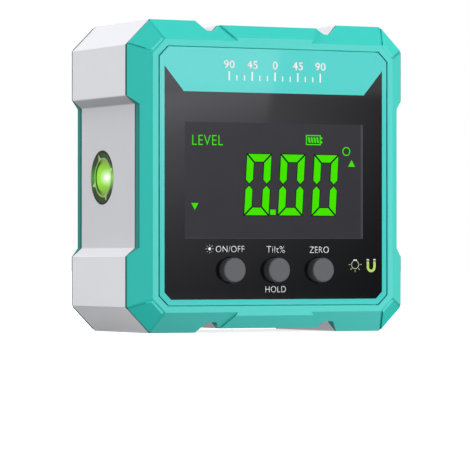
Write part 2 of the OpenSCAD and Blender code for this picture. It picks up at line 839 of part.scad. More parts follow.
body_ring();
front_cover();
rear_cover();
front_panel();
panel_tape();
power_button();
tilt_button();
zero_button();
power_plunger();
tilt_plunger();
zero_plunger();
tact_switches();
lcd_glass();
lcd_backlight();
lcd_frame();
contact_strip();
main_board();
board_chips();
tilt_sensor();
usb_shell();
usb_tongue();
battery();
battery_pad();
battery_red_lead();
battery_black_lead();
left_laser_bezel();
left_laser_lens();
left_laser_barrel();
left_laser_diode();
left_laser_red_lead();
left_laser_black_lead();
right_laser_bezel();
right_laser_lens();
right_laser_barrel();
right_laser_diode();
right_laser_red_lead();
right_laser_black_lead();
magnets();
front_screws();
rear_screws();
board_screws();
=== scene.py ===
# %% [markdown]
# # Dressing a pocket digital angle gauge
# The gauge is a square metal ring between two moulded covers. A glossy printed panel on the front holds a
# display window and three push buttons, and each side has a small laser in a round bezel. The solids come
# in as a fixed frame, so every step below only adds finish: softened edges, lit segments, printed signs,
# materials, light and a camera. All of it is in metres, in the frame's own axes: +X right, -Y to the front.

# %% Load the frame
import json
import math

import bpy
from mathutils import Matrix, Vector


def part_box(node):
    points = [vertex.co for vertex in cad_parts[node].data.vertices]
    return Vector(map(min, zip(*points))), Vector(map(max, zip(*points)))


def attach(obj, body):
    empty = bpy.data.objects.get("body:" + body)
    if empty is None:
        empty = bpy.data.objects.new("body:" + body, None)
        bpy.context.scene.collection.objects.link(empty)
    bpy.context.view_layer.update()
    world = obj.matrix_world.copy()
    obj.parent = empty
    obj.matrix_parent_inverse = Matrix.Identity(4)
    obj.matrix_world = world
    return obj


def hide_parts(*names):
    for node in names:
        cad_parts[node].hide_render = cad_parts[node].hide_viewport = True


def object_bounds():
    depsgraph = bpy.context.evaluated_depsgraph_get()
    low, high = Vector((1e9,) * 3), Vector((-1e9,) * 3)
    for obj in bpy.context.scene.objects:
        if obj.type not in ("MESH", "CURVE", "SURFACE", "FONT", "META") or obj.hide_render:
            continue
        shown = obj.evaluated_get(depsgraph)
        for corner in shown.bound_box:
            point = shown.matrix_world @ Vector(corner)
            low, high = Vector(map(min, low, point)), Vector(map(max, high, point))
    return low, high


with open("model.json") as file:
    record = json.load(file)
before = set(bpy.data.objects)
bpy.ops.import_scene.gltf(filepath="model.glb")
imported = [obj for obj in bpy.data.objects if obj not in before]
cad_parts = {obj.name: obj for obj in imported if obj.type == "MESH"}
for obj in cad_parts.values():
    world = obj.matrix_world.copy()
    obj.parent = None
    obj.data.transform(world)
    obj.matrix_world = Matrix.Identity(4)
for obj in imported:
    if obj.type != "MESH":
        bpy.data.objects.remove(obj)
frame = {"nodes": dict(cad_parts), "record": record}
cad_low, cad_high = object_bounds()

MM = 0.001
size = (cad_high - cad_low) / MM
print("frame:", len(frame["nodes"]), "nodes,", "box %.2f x %.2f x %.2f mm" % tuple(size))

# %% [markdown]
# The measurements that the printed signs need are read from the frame, not typed in again. The front panel
# gives the printed plane, and the display glass gives the plane of the lit segments behind it.

# %% Measure the front
panel_low, panel_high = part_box("front_panel")
glass_low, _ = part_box("lcd_glass")
MIDDLE = (cad_low + cad_high) / 2
PRINT_Y = panel_low.y
GLASS_Y = glass_low.y
print("printed plane y %.3f mm, display plane y %.3f mm" % (PRINT_Y / MM, GLASS_Y / MM))

# %% [markdown]
# ## Camera
# The photograph was taken from a little left of the front and just below the middle, with a long lens, so
# upright edges stay nearly parallel. The camera could be tried by eye. Here its place is worked out from a
# turn, a height and a distance about one point of the gauge, which keeps the framing exact. It aims beside
# that point because the gauge sits above the middle of the picture, and so it needs no lens shift.

# %% Place the camera
VIEW_POINT = Vector((MIDDLE.x, PRINT_Y + 3.85 * MM, MIDDLE.z))
VIEW_TURN = math.radians(27.19)
VIEW_RISE = math.radians(-1.37)
VIEW_DISTANCE = 662.9 * MM
VIEW_LENS = 261.35
AIM_RIGHT = -6.003 * MM
AIM_UP = -11.171 * MM

to_camera = Vector((
    -math.sin(VIEW_TURN) * math.cos(VIEW_RISE),
    -math.cos(VIEW_TURN) * math.cos(VIEW_RISE),
    math.sin(VIEW_RISE),
))
view_right = (-to_camera).cross(Vector((0, 0, 1))).normalized()
view_up = view_right.cross(-to_camera)
eye = VIEW_POINT + to_camera * VIEW_DISTANCE
target = VIEW_POINT + view_right * AIM_RIGHT + view_up * AIM_UP

bpy.ops.object.select_all(action="DESELECT")
bpy.ops.object.camera_add(location=eye, rotation=(target - eye).to_track_quat("-Z", "Y").to_euler())
camera = bpy.context.object
camera.name = "camera"
camera.data.lens = VIEW_LENS
camera.data.sensor_width = 36.0
camera.data.clip_start = 0.01
bpy.context.scene.camera = camera
print("camera at", tuple(round(v / MM, 1) for v in eye), "mm")

# %% [markdown]
# ## Shader sums
# A node tree is hard to read as code when each link is a line of its own. The small class below wraps one
# socket. Plain Python sums on it add Math nodes, and `add` makes any other node: its kind, then the values
# or links of its sockets, then its settings. Masks are compared with < and >, met with & and joined with |.

# %% Wrap a shader socket


class Flow:
    """One socket of a node tree that can be used in Python sums."""

    def __init__(self, tree, socket=None):
        self.tree = tree
        self.socket = socket

    def add(self, kind, sockets=(), settings=(), out=0):
        """A new node: its settings are set first, then its sockets, and one of its outputs comes back."""
        node = self.tree.nodes.new("ShaderNode" + kind)
        for key, value in dict(settings).items():
            if key == "stops":
                self.set_stops(node.color_ramp.elements, value)
            else:
                setattr(node, key, value)
        for key, value in dict(sockets).items():
            if isinstance(value, Flow):
                self.tree.links.new(value.socket, node.inputs[key])
            else:
                node.inputs[key].default_value = value
        return Flow(self.tree, node.outputs[out])

    @staticmethod
    def set_stops(elements, stops):
        """Gives a ramp its stops, each a place and a grey level."""
        while len(elements) < len(stops):
            elements.new(1.0)
        for element, (place, level) in zip(elements, stops):
            element.position = place
            element.color = (level, level, level, 1.0)

    def sum(self, operation, first, second=0.0):
        return self.add("Math", {0: first, 1: second}, {"operation": operation})

    def __add__(self, other):
        return self.sum("ADD", self, other)

    def __sub__(self, other):
        return self.sum("SUBTRACT", self, other)

    def __rsub__(self, other):
        return self.sum("SUBTRACT", other, self)

    def __mul__(self, other):
        return self.sum("MULTIPLY", self, other)

    def __truediv__(self, other):
        return self.sum("DIVIDE", self, other)

    def __lt__(self, other):
        return self.sum("LESS_THAN", self, other)

    def __gt__(self, other):
        return self.sum("GREATER_THAN", self, other)

    def __and__(self, other):
        return self.sum("MINIMUM", self, other)

    def __or__(self, other):
        return self.sum("MAXIMUM", self, other)

    def __abs__(self):
        return self.sum("ABSOLUTE", self)

    __radd__ = __add__
    __rmul__ = __mul__

    def point(self):
        """The Object coordinates of the surface, in metres."""
        return self.add("TexCoord", out="Object")

    def axes(self):
        """The three Object coordinates in millimetres, as separate sums."""
        split = self.add("SeparateXYZ", {0: self.point()})
        outputs = split.socket.node.outputs
        return [Flow(self.tree, outputs[axis]) * (1 / MM) for axis in "XYZ"]

    def noise(self, grain, stretch=(1, 1, 1)):
        """Random grey from 0 to 1 with a grain in millimetres, longer along an axis with a small stretch."""
        place = self.add("Mapping", {"Vector": self.point(), "Scale": stretch})
        return self.add("TexNoise", {"Vector": place, "Scale": 1 / (grain * MM)})

    def tints(self, mask, low, high):
        """The colour low where the mask is 0 and high where it is 1."""
        return self.add("Mix", {0: mask, 6: low, 7: high}, {"data_type": "RGBA"}, out=2)

    def bump(self, height, depth):
        """A normal that follows a height from 0 to 1, which is depth millimetres deep."""
        return self.add("Bump", {"Height": height, "Distance": depth * MM})


def tint(code):
    """The linear colour of a screen colour written as six hexadecimal digits."""
    parts = [int(code[i:i + 2], 16) / 255 for i in (0, 2, 4)]
    return tuple(p / 12.92 if p <= 0.04045 else ((p + 0.055) / 1.055) ** 2.4 for p in parts) + (1.0,)


BLACK = tint("000000")
WHITE = tint("ffffff")
print("teal as linear light:", tuple(round(v, 3) for v in tint("42d3c4")))

# %% [markdown]
# ## Studio
# The gauge stands on a plain pale floor in soft light. A large lamp hangs at the right front, and a low one
# near the front lifts the lower slopes. A soft lamp above and behind lights the top, and one on the left
# keeps the metal side bright. A lamp could also light the background, but here the Light Path node makes it
# white to the camera, to reflections and to clear pieces, so the lamps stay at a plain level. The floor is
# lit by the lamps and keeps the shadow. Its glow takes the place of the light that a white table throws back
# on the gauge.

# %% Light the world
AMBIENT_ABOVE = tint("b6b8bb")
AMBIENT_BELOW = tint("a2a3a6")


def white_rays(flow):
    """1 for the rays that should see a white background: from the camera, reflected or let through."""
    paths = flow.add("LightPath").socket.node.outputs
    camera_ray, glossy_ray, clear_ray = (
        Flow(flow.tree, paths[name])
        for name in ("Is Camera Ray", "Is Glossy Ray", "Is Transmission Ray")
    )
    return camera_ray | glossy_ray | clear_ray


world = bpy.data.worlds.new("studio")
bpy.context.scene.world = world
world.use_nodes = True
sky = Flow(world.node_tree)
height = sky.add("SeparateXYZ", {0: sky.add("TexCoord", out="Generated")}, out="Z")
ambient = sky.tints(height * 0.5 + 0.5, AMBIENT_BELOW, AMBIENT_ABOVE)
backdrop = sky.tints(white_rays(sky), ambient, WHITE)
world.node_tree.links.new(backdrop.socket, world.node_tree.nodes["Background"].inputs["Color"])
bpy.context.scene.view_settings.view_transform = "Standard"
print("world is white to the camera and to reflections, and soft grey to the rest")

# %% Hang the lamps
LAMP_DISTANCE = 1.4


def soft_lamp(name, direction, width, height, level):
    """A soft box that faces the gauge. Its level is the light that it sheds on a facing surface."""
    place = MIDDLE + Vector(direction).normalized() * LAMP_DISTANCE
    facing = (MIDDLE - place).to_track_quat("-Z", "Y").to_euler()
    bpy.ops.object.select_all(action="DESELECT")
    bpy.ops.object.light_add(type="AREA", location=place, rotation=facing)
    lamp = bpy.context.object
    lamp.name = name
    lamp.data.shape = "RECTANGLE"
    lamp.data.size = width
    lamp.data.size_y = height
    lamp.data.energy = level * math.pi ** 2 * LAMP_DISTANCE ** 2


soft_lamp("front_lamp", (0.48, -0.85, 0.3), width=0.7, height=0.7, level=0.45)
soft_lamp("low_lamp", (0.2, -0.9, 0.1), width=0.7, height=0.24, level=0.14)
soft_lamp("top_lamp", (-0.45, 0.6, 1.0), width=0.8, height=0.8, level=0.42)
soft_lamp("side_lamp", (-0.85, 0.2, 0.35), width=0.6, height=0.6, level=0.35)
print("four soft lamps", LAMP_DISTANCE, "m from the gauge")

# %% Lay the floor
FLOOR_HALF = 3.0
FLOOR_GAP = 0.02
FLOOR_FADE = 70.0
FLOOR_SLANT = 0.7
FLOOR_SHADE = 420.0
GLOW_STOPS = ((0.0, 0.12), (1.0, 0.54))
FAR_STOPS = ((0.1, 0.62), (1.0, 1.0))

bpy.ops.object.select_all(action="DESELECT")
bpy.ops.mesh.primitive_plane_add(size=2 * FLOOR_HALF, location=(0, 0, cad_low.z - FLOOR_GAP * MM))
floor = bpy.context.object
floor.name = "floor"
paper = bpy.data.materials.new("pale paper")
paper.use_nodes = True
paper_shader = paper.node_tree.nodes["Principled BSDF"]
paper_flow = Flow(paper.node_tree)
paper_shader.inputs["Roughness"].default_value = 0.9
paper_shader.inputs["Specular IOR Level"].default_value = 0.0
paper_shader.inputs["Emission Strength"].default_value = 1.0
paper_x, paper_y, _ = paper_flow.axes()
paper_slant = (paper_x * FLOOR_SLANT - paper_y) / FLOOR_FADE + 0.5
paper_front = paper_flow.add("ValToRGB", {0: paper_slant}, {"stops": GLOW_STOPS})
paper_reach = paper_flow.sum("SQRT", paper_x * paper_x + paper_y * paper_y) / FLOOR_SHADE
paper_far = paper_flow.add("ValToRGB", {0: paper_reach}, {"stops": FAR_STOPS})
paper_tone = paper_flow.tints(white_rays(paper_flow), BLACK, tint("f4f4f4"))
paper_glow = paper_flow.tints(white_rays(paper_flow), paper_front, paper_far)
paper.node_tree.links.new(paper_tone.socket, paper_shader.inputs["Base Color"])
paper.node_tree.links.new(paper_glow.socket, paper_shader.inputs["Emission Color"])
floor.data.materials.append(paper)
print("floor", 2 * FLOOR_HALF, "m wide")

# %% [markdown]
# The panel is glossy, and gloss only shows what stands in front of it. A photographer would hang a graded
# card where the panel reflects it. This card is bright at its top and fades downwards. Below the panel's
# head it grows brighter to the left. Its left half has a slanted edge and is brighter above, which gives the
# long soft streak that dies away at the window. Only reflected rays see the card, so it neither lights the
# gauge nor shows in the picture.

# %% Hang the reflection card
HEAD_LINE = 16.2
HEAD_SOFT = 1.0
CARD_DISTANCE = 0.4
CARD_HALF = 0.13
CARD_SPREAD = 1 + CARD_DISTANCE / VIEW_DISTANCE
STREAK_X = -3.7
STREAK_LEAN = 0.223
STREAK_SOFT = 0.8
STREAK_FOOT = 8.4
STREAK_GAIN = 0.15
STREAK_LEVEL = 1.65
CARD_STOPS = ((0.37, 0.21), (0.44, 0.37), (0.52, 0.66), (0.56, 0.83), (0.60, 0.86))
CARD_LEVEL = 1.78
CARD_LEAN = 0.0245
CARD_TINT = (0.98, 0.97, 1.06, 1.0)

panel_middle = (panel_low + panel_high) / 2
mirrored = Vector((-to_camera.x, to_camera.y, -to_camera.z))
card_place = Vector((panel_middle.x, PRINT_Y, panel_middle.z)) + mirrored * CARD_DISTANCE
card_facing = mirrored.to_track_quat("Z", "Y").to_euler()
bpy.ops.object.select_all(action="DESELECT")
bpy.ops.mesh.primitive_plane_add(size=2 * CARD_HALF, location=card_place, rotation=card_facing)
card = bpy.context.object
card.name = "reflection_card"
card.visible_camera = False
card.visible_diffuse = False
card.visible_shadow = False
card.visible_transmission = False

glow = bpy.data.materials.new("graded card")
glow.use_nodes = True
glow.node_tree.nodes.remove(glow.node_tree.nodes["Principled BSDF"])
card_flow = Flow(glow.node_tree)
across, upward, _ = card_flow.axes()
across = across / (CARD_SPREAD * math.cos(VIEW_TURN))
upward = upward / CARD_SPREAD
grade = card_flow.add(
    "ValToRGB",
    {0: upward / (2 * CARD_HALF / MM / CARD_SPREAD) + 0.5},
    {"stops": CARD_STOPS},
)
left_half = (((upward * STREAK_LEAN + STREAK_X - across) / STREAK_SOFT + 0.5) & 1.0) | 0.0
streak = (((upward - STREAK_FOOT) * STREAK_GAIN & STREAK_LEVEL) | 0.0) * left_half
below_head = card_flow.add("MapRange", {0: upward, 1: HEAD_LINE + HEAD_SOFT, 2: HEAD_LINE - HEAD_SOFT})
level = grade * CARD_LEVEL * (1 - across * below_head * CARD_LEAN) + streak
shine = card_flow.add("Emission", {"Color": CARD_TINT, "Strength": level})
glow.node_tree.links.new(shine.socket, glow.node_tree.nodes["Material Output"].inputs["Surface"])
card.data.materials.append(glow)
print("card at", tuple(round(v, 3) for v in card_place))

# %% [markdown]
# ## Finishes
# Each finish is a short function. A moulded or blasted surface is never one flat colour: a fine grain shifts
# its tone and its gloss a little and dents it by a few thousandths of a millimetre. `surface` sets what is
# the same all over straight on the shader and links only what changes.

# %% A surface and its grain
BROAD_GRAIN = 30
GLOSS_SHIFT = 0.12
PLAIN_SPECULAR = 0.5


def surface(name, constants, varying):
    """A material: constants are set on the shader's own sockets, varying(flow) gives what changes over it."""
    material = bpy.data.materials.new(name)
    material.use_nodes = True
    tree = material.node_tree
    shader = tree.nodes["Principled BSDF"]
    for key, value in constants.items():
        shader.inputs[key].default_value = value
    for key, value in varying(Flow(tree)).items():
        tree.links.new(value.socket, shader.inputs[key])
    return material


def grained(name, colour, roughness, grain, depth, fade=0.06, specular=PLAIN_SPECULAR):
    """A finish with a fine random grain of a size and depth in millimetres."""
    dark = tuple(v * (1 - fade) for v in colour[:3]) + (1.0,)
    light = tuple(min(1.0, v * (1 + fade)) for v in colour[:3]) + (1.0,)

    def varying(flow):
        fine = flow.noise(grain)
        broad = flow.noise(grain * BROAD_GRAIN)
        return {
            "Base Color": flow.tints(fine * 0.5 + broad * 0.5, dark, light),
            "Roughness": (broad - 0.5) * GLOSS_SHIFT + roughness,
            "Normal": flow.bump(fine, depth),
        }

    return surface(name, {"Specular IOR Level": specular}, varying)


finishes = {
    "button_plastic": grained("grey keycap", tint("535458"), 0.42, 0.10, 0.004, specular=0.3),
    "black_plastic": grained("black moulding", tint("242426"), 0.45, 0.12, 0.004),
    "light_guide": grained("milky light guide", tint("e8e8e0"), 0.25, 0.6, 0.002),
    "strip_rubber": grained("pink contact rubber", tint("c47f7f"), 0.6, 0.2, 0.01),
    "foam_tape": grained("foam tape", tint("d2d2cc"), 0.9, 0.25, 0.04, fade=0.12),
    "red_lead": grained("red lead", tint("a81f1b"), 0.4, 0.3, 0.003),
    "black_lead": grained("black lead", tint("1c1c1d"), 0.4, 0.3, 0.003),
}
print("grained finishes:", ", ".join(finishes))

# %% [markdown]
# The covers are satin teal mouldings of one colour. Light and shade are painted over it by which way a face
# points: the corner facets, the right slope and the undersides each have their own painted shade or light.
# The narrow walls that follow the outline, the joints against the ring, the foot of the right-hand pads and
# the side walls of the groove around the panel are painted darker, as painted shade. The flat rim around the
# panel is painted lighter, as a painted highlight. The bores of the buttons are painted black inside as
# painted shade, so no teal shows past the keycaps. The upper and lower walls of the groove get a faint
# painted glow that lifts their shade. The places are told apart by which way they face and by their distance
# from the middle, so no face has to be picked by hand.

# %% Teal moulding
COVER_SPECULAR = 0.04
TEAL_GRAIN = 0.16
OUTLINE_REACH = 27.0
OUTLINE_CORNER = 54.0
WALL_TOP = 22.0
SLAB_HALF = 11.2
BORE_RADIUS = 3.4
FACET_REACH = 48.5
CORNER_SUM = 55.0
PAD_SPLAY = math.tan(math.radians(22.5))
PAD_FOOT = 4.05
FRONT_JOINT = 0.42
REAR_JOINT = 0.6
# How much of a face's direction lies along an axis where it counts as upright, tilted and so on.
UPRIGHT = 0.1
TILTED = 0.3
UNDERSIDE = -0.57
SQUARE = 0.9
FLAT = 0.99
ring_low, ring_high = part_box("body_ring")


def teal_moulding(flow):
    x, y, z = flow.axes()
    side, up = abs(x - MIDDLE.x / MM), abs(z - MIDDLE.z / MM)
    normal = flow.add("NewGeometry", out="True Normal")
    toward, facing, lean = (flow.add("SeparateXYZ", {0: normal}, out=axis) for axis in "XYZ")
    sideways = abs(toward) > TILTED
    outer = ((side | up) > OUTLINE_REACH) | (side + up > OUTLINE_CORNER)
    notch = (z < MIDDLE.z / MM) & (side > SLAB_HALF)
    wall = (abs(facing) < UPRIGHT) & outer & ((up < WALL_TOP) | notch)
    joint_shade = (abs(y - ring_low.y / MM) < FRONT_JOINT) | (abs(y - ring_high.y / MM) < REAR_JOINT)
    joint_shade = joint_shade & sideways & outer
    rim = facing < -FLAT
    # The button bores are painted near black inside, as painted shade.
    key_low, key_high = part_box("tilt_button")
    pitch = (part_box("zero_button")[0].x - key_low.x) / MM
    beside = side & abs(side - pitch)
    above = z - (key_low.z + key_high.z) / 2 / MM
    bore = (flow.sum("SQRT", beside * beside + above * above) < BORE_RADIUS) & (y < 0.0)
    fine = flow.noise(TEAL_GRAIN)
    broad = flow.noise(TEAL_GRAIN * BROAD_GRAIN)
    skin = flow.tints(fine * 0.5 + broad * 0.5, tint("41d0c2"), tint("43d6c8"))
    # Painted light and shade by facing: each corner facet, the right slope and the undersides get their own
    # tone.
    facet = sideways & (abs(lean) > TILTED) & (side + up > FACET_REACH)
    upper = flow.tints(toward > 0.0, tint("3bc9bb"), tint("3fd8c9"))
    lower = flow.tints(toward > 0.0, tint("3ddbce"), tint("2ac4b7"))
    foot = facet & (toward > 0.0) & (side - up - (side + up - CORNER_SUM) * PAD_SPLAY > PAD_FOOT)
    skin = flow.tints((toward > TILTED) & (abs(lean) < TILTED), skin, tint("3fcdc0"))
    skin = flow.tints(facet, skin, flow.tints(lean > 0.0, lower, upper))
    # Painted shadow of the right-hand pads along their foot.
    skin = flow.tints(foot, skin, tint("2fb0a3"))
    skin = flow.tints(lean < UNDERSIDE, skin, tint("55d2c8"))
    # Painted highlight on the flat front rim around the panel.
    skin = flow.tints(rim, skin, tint("5edad0"))
    # Painted shade on the narrow walls that follow the outline.
    skin = flow.tints(wall, skin, tint("288b84"))
    # Painted shade along the cover's land next to the ring, front and rear.
    skin = flow.tints(joint_shade, skin, tint("155650"))
    groove = (abs(facing) < UPRIGHT) & (1 - outer) & (1 - bore) & (y < ring_low.y / MM)
    # Painted shade on the side walls of the groove around the panel.
    skin = flow.tints(groove & (abs(toward) > SQUARE), skin, tint("2b9a90"))
    return {
        "Base Color": flow.tints(bore, skin, tint("0c0f0f")),
        # Painted glow on the groove's upper and lower walls, which lifts their shade.
        "Emission Color": flow.tints(groove & (abs(lean) > SQUARE), BLACK, tint("3ca69e")),
        "Roughness": (broad - 0.5) * GLOSS_SHIFT + 0.46,
        "Normal": flow.bump(fine, 0.005),
    }


finishes["cover_plastic"] = surface(
    "teal moulding", {"Specular IOR Level": COVER_SPECULAR, "Emission Strength": 1.0}, teal_moulding
)
print("teal moulding ready")

# %% [markdown]
# The body ring is a blasted aluminium extrusion. Its corner pads touch the work, so they are ground a little
# smoother, and the recessed walls between them are painted a shade darker than the pads, as painted shade in
# the recess. The pads are where the ring reaches its full width or height. The slopes beside them are painted
# lighter where they face up and get painted shade where they face down, and the chamfers of the lower corners
# get a little painted shade too. Pads and walls could be separate materials, but their edges are the same
# distance from the middle all round, so two ramps on that distance are enough.

# %% Blasted ring with ground pads
PAD_REACH = (cad_high.x - cad_low.x) / 2 / MM - 0.2
PAD_SOFT = 0.1
SLOPE_REACH = PAD_REACH - 1.65
SLOPE_SOFT = 0.05
CORNER_REACH = 54.6
SIDE_RISE = 25.0


def blasted_ring(flow):
    x, _, z = flow.axes()
    side, rise = abs(x - MIDDLE.x / MM), abs(z - MIDDLE.z / MM)
    reach = side | rise
    corner = side + rise > CORNER_REACH
    pads_and_corners = flow.add("MapRange", {0: reach, 1: PAD_REACH - PAD_SOFT, 2: PAD_REACH + PAD_SOFT}) | corner
    slope = flow.add("MapRange", {0: reach, 1: SLOPE_REACH - SLOPE_SOFT, 2: SLOPE_REACH + SLOPE_SOFT})
    slope = slope * (1 - pads_and_corners)
    lean = flow.add("SeparateXYZ", {0: flow.add("NewGeometry", out="True Normal")}, out="Z")
    fine = flow.noise(0.12)
    broad = flow.noise(3.0)
    grain = fine * 0.5 + broad * 0.5
    # The recessed walls are painted darker than the pads, as painted shade in the recess.
    wall = flow.tints(grain, tint("c4c4c8"), tint("cacace"))
    pad = flow.tints(grain, tint("d8d8dc"), tint("dedee2"))
    # Painted shade on down-facing slopes and lower chamfers; up-facing slopes are painted lighter.
    underside_shade = flow.tints(corner, tint("979799"), tint("c6c6ca"))
    under = ((slope & (rise < SIDE_RISE)) | corner) & (lean < -UPRIGHT)
    skin = flow.tints(slope & (lean > UPRIGHT), flow.tints(pads_and_corners, wall, pad), tint("d0d0d4"))
    return {
        "Base Color": flow.tints(under, skin, underside_shade),
        "Roughness": 0.52 - pads_and_corners * 0.08 + broad * 0.06,
        "Normal": flow.bump(fine, 0.006),
    }


finishes["ring_aluminium"] = surface("blasted aluminium", {"Metallic": 0.16}, blasted_ring)
print("pads start %.1f mm from the middle" % PAD_REACH)

# %% [markdown]
# Metal that was rolled or turned has lines instead of grain. Noise stretched along one axis gives brushed
# plate, and noise stretched along two gives the rings that a lathe leaves around the third.

# %% Brushed and turned metal


def brushed(name, colour, roughness, stretch, depth=0.003):
    """Metal with fine lines along each axis whose stretch is small."""

    def varying(flow):
        lines = flow.noise(0.05, stretch=stretch)
        return {
            "Base Color": flow.tints(lines, tuple(v * 0.85 for v in colour[:3]) + (1.0,), colour),
            "Roughness": lines * 0.15 + roughness,
            "Normal": flow.bump(lines, depth),
        }

    return surface(name, {"Metallic": 1.0}, varying)


finishes["bright_steel"] = brushed("plated steel", tint("c4c6c9"), 0.22, (1, 0.06, 1))
finishes["magnet_steel"] = brushed("nickel plated magnet", tint("8f9094"), 0.25, (1, 1, 0.1))
finishes["barrel_brass"] = brushed("turned brass", tint("c9a55a"), 0.25, (1, 0.08, 0.08))
finishes["battery_foil"] = brushed("pouch foil", tint("b9c1c9"), 0.3, (0.2, 1, 1), depth=0.02)
print("finishes so far:", len(finishes))

# %% [markdown]
# The circuit board is green lacquer over copper. Its tracks show as faint lines under the lacquer, so a grid
# of thin stripes at two angles, broken up by noise, is enough.

# %% Lacquered board


def board_lacquer(flow):
    x, _, z = flow.axes()
    tracks = abs(flow.sum("PINGPONG", x + flow.noise(8.0) * 6, 0.6)) > 0.48
    tracks = tracks | (abs(flow.sum("PINGPONG", z + flow.noise(9.0) * 6, 0.7)) > 0.58)
    return {
        "Base Color": flow.tints(tracks * 0.6, tint("14532f"), tint("2b7a45")),
        "Normal": flow.bump(tracks, 0.02),
    }


finishes["board"] = surface("green lacquer", {"Roughness": 0.3}, board_lacquer)
print("board finish ready")

# %% [markdown]
# ## Front panel finish
# The panel is one clear plate, printed from behind: black in the middle, teal in the head and the border, and
# no ink at all in the window. A thin grey line at the window's right and foot is a painted highlight of its
# edge.
# A picture could carry the print, but the ink's edges are straight, so a few comparisons on Object
# coordinates draw them sharply at any zoom. The plate's edge is painted a darker teal, as painted shade in
# the groove around it. A Mix Shader keeps the window clear and the rest opaque. The window is larger on the
# rear face, so it never cuts into a slanted view. From inside the plate the front ink counts as clear too, so
# the display keeps its shine right up to the window's edge.

# %% Printed and clear panel
INK_HALF = 23.65
INK_BOTTOM = -23.61
INK_CHAMFER = 1.4
HEAD_HALF = 19.55
HEAD_SLOPE = 1.18
WINDOW_HALF = 19.36
WINDOW_TOP = 10.4
WINDOW_BOTTOM = -11.9
PANEL_IOR = 1.42
PANEL_ROUGHNESS = 0.04
WINDOW_LINE = 0.45
SILL_LINE = 0.09
WINDOW_SPARE = 1.3
PLATE_EDGE = 0.5


def panel_plate():
    """The printed plate: opaque ink with a clear window."""
    plate = bpy.data.materials.new("printed acrylic")
    plate.use_nodes = True
    tree = plate.node_tree
    ink = tree.nodes["Principled BSDF"]
    flow = Flow(tree)
    x, y, z = flow.axes()
    side = abs(x - MIDDLE.x / MM)
    up = z - MIDDLE.z / MM
    black = (side < INK_HALF) & (up > INK_BOTTOM) & (side - up < INK_HALF - INK_BOTTOM - INK_CHAMFER)
    black = black & (up < HEAD_LINE + HEAD_SLOPE * ((side - HEAD_HALF) | 0.0))
    rear = y > (panel_low.y + panel_high.y) / 2 / MM
    spare = rear * (WINDOW_SPARE + WINDOW_LINE)
    right = x - MIDDLE.x / MM
    # Painted highlight: a thin grey line along the window's right and lower edges.
    frame_line = (side < WINDOW_HALF) & (up < WINDOW_TOP) & (up > WINDOW_BOTTOM)
    window = (side < WINDOW_HALF + spare) & (right < WINDOW_HALF - WINDOW_LINE + spare)
    window = window & (up < WINDOW_TOP + spare) & (up > WINDOW_BOTTOM + SILL_LINE - spare)
    window = window | ((1 - rear) & flow.add("NewGeometry", out="Backfacing"))
    speck = flow.noise(0.4)
    dark = flow.tints(speck, tint("08090a"), tint("0b0c0d"))
    teal = flow.tints(speck, tint("47d2ca"), tint("4bd6ce"))
    facing = flow.add("SeparateXYZ", {0: flow.add("NewGeometry", out="True Normal")}, out="Y")
    # The plate's edge is painted darker teal, as painted shade in the groove.
    teal = flow.tints(abs(facing) < PLATE_EDGE, teal, tint("2b9a90"))
    printed = flow.tints(frame_line, flow.tints(black, teal, dark), tint("444348"))
    tree.links.new(printed.socket, ink.inputs["Base Color"])
    ink.inputs["Roughness"].default_value = PANEL_ROUGHNESS
    ink.inputs["IOR"].default_value = PANEL_IOR
    clear = flow.add("BsdfTransparent")
    whole = flow.add("MixShader", {0: window, 1: Flow(tree, ink.outputs["BSDF"]), 2: clear})
    tree.links.new(whole.socket, tree.nodes["Material Output"].inputs["Surface"])
    return plate


finishes["panel_acrylic"] = panel_plate()
print("panel window %.1f x %.1f mm" % (2 * WINDOW_HALF, WINDOW_TOP - WINDOW_BOTTOM))

# %% [markdown]
# The display glass is nearly black. Its faint glow is painted light: it gives the glass a tone a shade
# lighter and warmer than the ink around it, even where the panel's ink would shade it. It also carries the
# shine of the window, because the clear plate in front of it has none of its own. The laser lenses are lit
# from inside: the hot spot is white-green and sits a little to the front, where the diode shows through, and
# the rim has painted shade at the rear. Their bezels are black at the rim, with a dish painted dark green as
# the lens's light. A lip and four ribs are painted pale green as a painted highlight of the green light, and
# a painted glow spills over the bezel near the lens, stronger at the front. The ribs could be cut as mesh,
# but they are so shallow that their painted tone is enough.

# %% Display glass, lit lens and bezel
GLASS_IOR = 1.18
SPOT_SHIFT = -2.1
SPOT_SQUASH = 4.0
SPOT_TINT = (1.0, 1.0, 0.9, 1.0)
lens_low, lens_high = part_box("left_laser_lens")
bezel_low, bezel_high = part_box("left_laser_bezel")
LASER_Y = (lens_low.y + lens_high.y) / 2 / MM
LASER_Z = (lens_low.z + lens_high.z) / 2 / MM
LENS_HALF = (lens_high.y - lens_low.y) / 2 / MM
BEZEL_HALF = (bezel_high.y - bezel_low.y) / 2 / MM
LIP_WIDTH = 0.38
RIM_WIDTH = 0.37
RIB_ANGLES = (68, 160, 249, 340)
RIB_WIDTH = 1.4
HEART_STOPS = ((0.2, 1.0), (0.5, 0.42), (1.0, 0.0))
BAND_STOPS = ((0.3, 1.0), (0.95, 0.0))
SPILL_STOPS = ((0.0, 1.0), (0.75, 0.0))
SHADE_START, SHADE_FULL = 0.74, 0.88
SHADE_REAR = 0.5
SHADE_LEVEL = 0.95
NEAR_START, NEAR_FULL = -0.3, -0.9
LIP_LIGHT = 0.85


def display_glass(flow):
    cloud = flow.noise(6.0)
    return {
        "Base Color": flow.tints(cloud, tint("0a0a0b"), tint("0d0d0e")),
        "Roughness": cloud * 0.02 + PANEL_ROUGHNESS,
        # Painted light: the glow gives the glass its lit tone, also where the ink would shade it.
        "Emission Color": flow.tints(cloud, tint("323136"), tint("363539")),
    }


